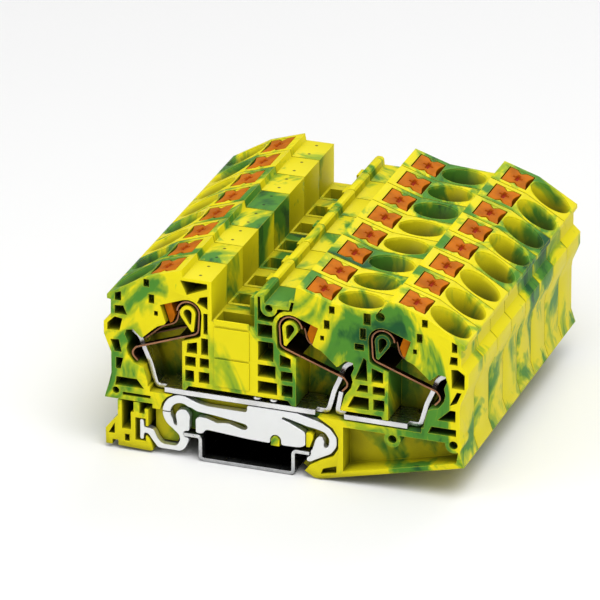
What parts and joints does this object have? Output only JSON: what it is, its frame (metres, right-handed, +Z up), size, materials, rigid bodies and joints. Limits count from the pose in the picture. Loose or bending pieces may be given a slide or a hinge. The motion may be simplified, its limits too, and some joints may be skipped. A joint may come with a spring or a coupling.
{
  "type": "din rail terminal block",
  "caption": "Row of green and yellow push-in earth terminal blocks on a top-hat rail, with orange release buttons, wire springs, current bars and a sprung rail foot.",
  "frame": {"origin": "centre of the rail's underside, halfway along the rail", "axes": "+X along a block from its release foot to its double bank, +Y along the rail from the open front block to the closed last block, +Z up, away from the wall that the rail is fixed to"},
  "size_m": [0.1011, 0.1036, 0.0544],
  "materials": {
    "green_yellow_plastic": "moulded polyamide, yellow marbled with green",
    "orange_plastic": "moulded polyamide",
    "tinned_copper": "stamped and tinned",
    "spring_steel": "bent strip with a brown temper colour",
    "zinced_steel": "rolled, zinc plated"
  },
  "bodies": {
    "row": {"din_rail": "zinced_steel", "housing_1": "green_yellow_plastic", "housing_2": "green_yellow_plastic", "housing_3": "green_yellow_plastic", "housing_4": "green_yellow_plastic", "housing_5": "green_yellow_plastic", "housing_6": "green_yellow_plastic", "housing_7": "green_yellow_plastic", "housing_8": "green_yellow_plastic", "earth_foot": "tinned_copper", "current_bar_long": "tinned_copper", "current_bar_short": "tinned_copper", "bar_rivet_1": "tinned_copper", "bar_rivet_2": "tinned_copper", "spring_left": "spring_steel", "spring_middle": "spring_steel", "spring_right": "spring_steel"},
    "button_left_1": {"button_left_1": "orange_plastic"},
    "button_left_2": {"button_left_2": "orange_plastic"},
    "button_left_3": {"button_left_3": "orange_plastic"},
    "button_left_4": {"button_left_4": "orange_plastic"},
    "button_left_5": {"button_left_5": "orange_plastic"},
    "button_left_6": {"button_left_6": "orange_plastic"},
    "button_left_7": {"button_left_7": "orange_plastic"},
    "button_left_8": {"button_left_8": "orange_plastic"},
    "clamp_leg_left": {"clamp_leg_left": "spring_steel"},
    "button_middle_1": {"button_middle_1": "orange_plastic"},
    "button_middle_2": {"button_middle_2": "orange_plastic"},
    "button_middle_3": {"button_middle_3": "orange_plastic"},
    "button_middle_4": {"button_middle_4": "orange_plastic"},
    "button_middle_5": {"button_middle_5": "orange_plastic"},
    "button_middle_6": {"button_middle_6": "orange_plastic"},
    "button_middle_7": {"button_middle_7": "orange_plastic"},
    "button_middle_8": {"button_middle_8": "orange_plastic"},
    "clamp_leg_middle": {"clamp_leg_middle": "spring_steel"},
    "button_right_1": {"button_right_1": "orange_plastic"},
    "button_right_2": {"button_right_2": "orange_plastic"},
    "button_right_3": {"button_right_3": "orange_plastic"},
    "button_right_4": {"button_right_4": "orange_plastic"},
    "button_right_5": {"button_right_5": "orange_plastic"},
    "button_right_6": {"button_right_6": "orange_plastic"},
    "button_right_7": {"button_right_7": "orange_plastic"},
    "button_right_8": {"button_right_8": "orange_plastic"},
    "clamp_leg_right": {"clamp_leg_right": "spring_steel"},
    "foot_1": {"release_foot_1": "green_yellow_plastic", "latch_hook": "tinned_copper"},
    "foot_2": {"release_foot_2": "green_yellow_plastic"},
    "foot_3": {"release_foot_3": "green_yellow_plastic"},
    "foot_4": {"release_foot_4": "green_yellow_plastic"},
    "foot_5": {"release_foot_5": "green_yellow_plastic"},
    "foot_6": {"release_foot_6": "green_yellow_plastic"},
    "foot_7": {"release_foot_7": "green_yellow_plastic"},
    "foot_8": {"release_foot_8": "green_yellow_plastic"}
  },
  "joints": [
    {"name": "press_left_1", "type": "slide", "parent": "row", "child": "button_left_1", "axis": [0.309, 0, -0.9511], "range_m": [0, 0.0025], "stiffness_N_per_m": 600, "springref_m": -0.0005},
    {"name": "press_left_2", "type": "slide", "parent": "row", "child": "button_left_2", "axis": [0.309, 0, -0.9511], "range_m": [0, 0.0025], "stiffness_N_per_m": 600, "springref_m": -0.0005},
    {"name": "press_left_3", "type": "slide", "parent": "row", "child": "button_left_3", "axis": [0.309, 0, -0.9511], "range_m": [0, 0.0025], "stiffness_N_per_m": 600, "springref_m": -0.0005},
    {"name": "press_left_4", "type": "slide", "parent": "row", "child": "button_left_4", "axis": [0.309, 0, -0.9511], "range_m": [0, 0.0025], "stiffness_N_per_m": 600, "springref_m": -0.0005},
    {"name": "press_left_5", "type": "slide", "parent": "row", "child": "button_left_5", "axis": [0.309, 0, -0.9511], "range_m": [0, 0.0025], "stiffness_N_per_m": 600, "springref_m": -0.0005},
    {"name": "press_left_6", "type": "slide", "parent": "row", "child": "button_left_6", "axis": [0.309, 0, -0.9511], "range_m": [0, 0.0025], "stiffness_N_per_m": 600, "springref_m": -0.0005},
    {"name": "press_left_7", "type": "slide", "parent": "row", "child": "button_left_7", "axis": [0.309, 0, -0.9511], "range_m": [0, 0.0025], "stiffness_N_per_m": 600, "springref_m": -0.0005},
    {"name": "press_left_8", "type": "slide", "parent": "row", "child": "button_left_8", "axis": [0.309, 0, -0.9511], "range_m": [0, 0.0025], "stiffness_N_per_m": 600, "springref_m": -0.0005},
    {"name": "clamp_left", "type": "hinge", "parent": "row", "child": "clamp_leg_left", "pos_m": [-0.0163, -0.04585, 0.0423], "axis": [0, -1, 0], "range_deg": [0, 24.2]},
    {"name": "press_middle_1", "type": "slide", "parent": "row", "child": "button_middle_1", "axis": [-0.309, 0, -0.9511], "range_m": [0, 0.0025], "stiffness_N_per_m": 600, "springref_m": -0.0005},
    {"name": "press_middle_2", "type": "slide", "parent": "row", "child": "button_middle_2", "axis": [-0.309, 0, -0.9511], "range_m": [0, 0.0025], "stiffness_N_per_m": 600, "springref_m": -0.0005},
    {"name": "press_middle_3", "type": "slide", "parent": "row", "child": "button_middle_3", "axis": [-0.309, 0, -0.9511], "range_m": [0, 0.0025], "stiffness_N_per_m": 600, "springref_m": -0.0005},
    {"name": "press_middle_4", "type": "slide", "parent": "row", "child": "button_middle_4", "axis": [-0.309, 0, -0.9511], "range_m": [0, 0.0025], "stiffness_N_per_m": 600, "springref_m": -0.0005},
    {"name": "press_middle_5", "type": "slide", "parent": "row", "child": "button_middle_5", "axis": [-0.309, 0, -0.9511], "range_m": [0, 0.0025], "stiffness_N_per_m": 600, "springref_m": -0.0005},
    {"name": "press_middle_6", "type": "slide", "parent": "row", "child": "button_middle_6", "axis": [-0.309, 0, -0.9511], "range_m": [0, 0.0025], "stiffness_N_per_m": 600, "springref_m": -0.0005},
    {"name": "press_middle_7", "type": "slide", "parent": "row", "child": "button_middle_7", "axis": [-0.309, 0, -0.9511], "range_m": [0, 0.0025], "stiffness_N_per_m": 600, "springref_m": -0.0005},
    {"name": "press_middle_8", "type": "slide", "parent": "row", "child": "button_middle_8", "axis": [-0.309, 0, -0.9511], "range_m": [0, 0.0025], "stiffness_N_per_m": 600, "springref_m": -0.0005},
    {"name": "clamp_middle", "type": "hinge", "parent": "row", "child": "clamp_leg_middle", "pos_m": [0.0122, -0.04585, 0.0423], "axis": [0, 1, 0], "range_deg": [0, 24.2]},
    {"name": "press_right_1", "type": "slide", "parent": "row", "child": "button_right_1", "axis": [-0.309, 0, -0.9511], "range_m": [0, 0.0025], "stiffness_N_per_m": 600, "springref_m": -0.0005},
    {"name": "press_right_2", "type": "slide", "parent": "row", "child": "button_right_2", "axis": [-0.309, 0, -0.9511], "range_m": [0, 0.0025], "stiffness_N_per_m": 600, "springref_m": -0.0005},
    {"name": "press_right_3", "type": "slide", "parent": "row", "child": "button_right_3", "axis": [-0.309, 0, -0.9511], "range_m": [0, 0.0025], "stiffness_N_per_m": 600, "springref_m": -0.0005},
    {"name": "press_right_4", "type": "slide", "parent": "row", "child": "button_right_4", "axis": [-0.309, 0, -0.9511], "range_m": [0, 0.0025], "stiffness_N_per_m": 600, "springref_m": -0.0005},
    {"name": "press_right_5", "type": "slide", "parent": "row", "child": "button_right_5", "axis": [-0.309, 0, -0.9511], "range_m": [0, 0.0025], "stiffness_N_per_m": 600, "springref_m": -0.0005},
    {"name": "press_right_6", "type": "slide", "parent": "row", "child": "button_right_6", "axis": [-0.309, 0, -0.9511], "range_m": [0, 0.0025], "stiffness_N_per_m": 600, "springref_m": -0.0005},
    {"name": "press_right_7", "type": "slide", "parent": "row", "child": "button_right_7", "axis": [-0.309, 0, -0.9511], "range_m": [0, 0.0025], "stiffness_N_per_m": 600, "springref_m": -0.0005},
    {"name": "press_right_8", "type": "slide", "parent": "row", "child": "button_right_8", "axis": [-0.309, 0, -0.9511], "range_m": [0, 0.0025], "stiffness_N_per_m": 600, "springref_m": -0.0005},
    {"name": "clamp_right", "type": "hinge", "parent": "row", "child": "clamp_leg_right", "pos_m": [0.0377, -0.04585, 0.0423], "axis": [0, 1, 0], "range_deg": [0, 24.2]},
    {"name": "release_1", "type": "slide", "parent": "row", "child": "foot_1", "axis": [-1, 0, 0], "range_m": [0, 0.0018], "stiffness_N_per_m": 1500, "springref_m": -0.0005},
    {"name": "release_2", "type": "slide", "parent": "row", "child": "foot_2", "axis": [-1, 0, 0], "range_m": [0, 0.0018], "stiffness_N_per_m": 1500, "springref_m": -0.0005},
    {"name": "release_3", "type": "slide", "parent": "row", "child": "foot_3", "axis": [-1, 0, 0], "range_m": [0, 0.0018], "stiffness_N_per_m": 1500, "springref_m": -0.0005},
    {"name": "release_4", "type": "slide", "parent": "row", "child": "foot_4", "axis": [-1, 0, 0], "range_m": [0, 0.0018], "stiffness_N_per_m": 1500, "springref_m": -0.0005},
    {"name": "release_5", "type": "slide", "parent": "row", "child": "foot_5", "axis": [-1, 0, 0], "range_m": [0, 0.0018], "stiffness_N_per_m": 1500, "springref_m": -0.0005},
    {"name": "release_6", "type": "slide", "parent": "row", "child": "foot_6", "axis": [-1, 0, 0], "range_m": [0, 0.0018], "stiffness_N_per_m": 1500, "springref_m": -0.0005},
    {"name": "release_7", "type": "slide", "parent": "row", "child": "foot_7", "axis": [-1, 0, 0], "range_m": [0, 0.0018], "stiffness_N_per_m": 1500, "springref_m": -0.0005},
    {"name": "release_8", "type": "slide", "parent": "row", "child": "foot_8", "axis": [-1, 0, 0], "range_m": [0, 0.0018], "stiffness_N_per_m": 1500, "springref_m": -0.0005}
  ],
  "couplings": [
    {"joint": "clamp_left", "follows": "press_left_1", "rad_per_m": 167.55},
    {"joint": "clamp_middle", "follows": "press_middle_1", "rad_per_m": 167.55},
    {"joint": "clamp_right", "follows": "press_right_1", "rad_per_m": 167.55}
  ]
}
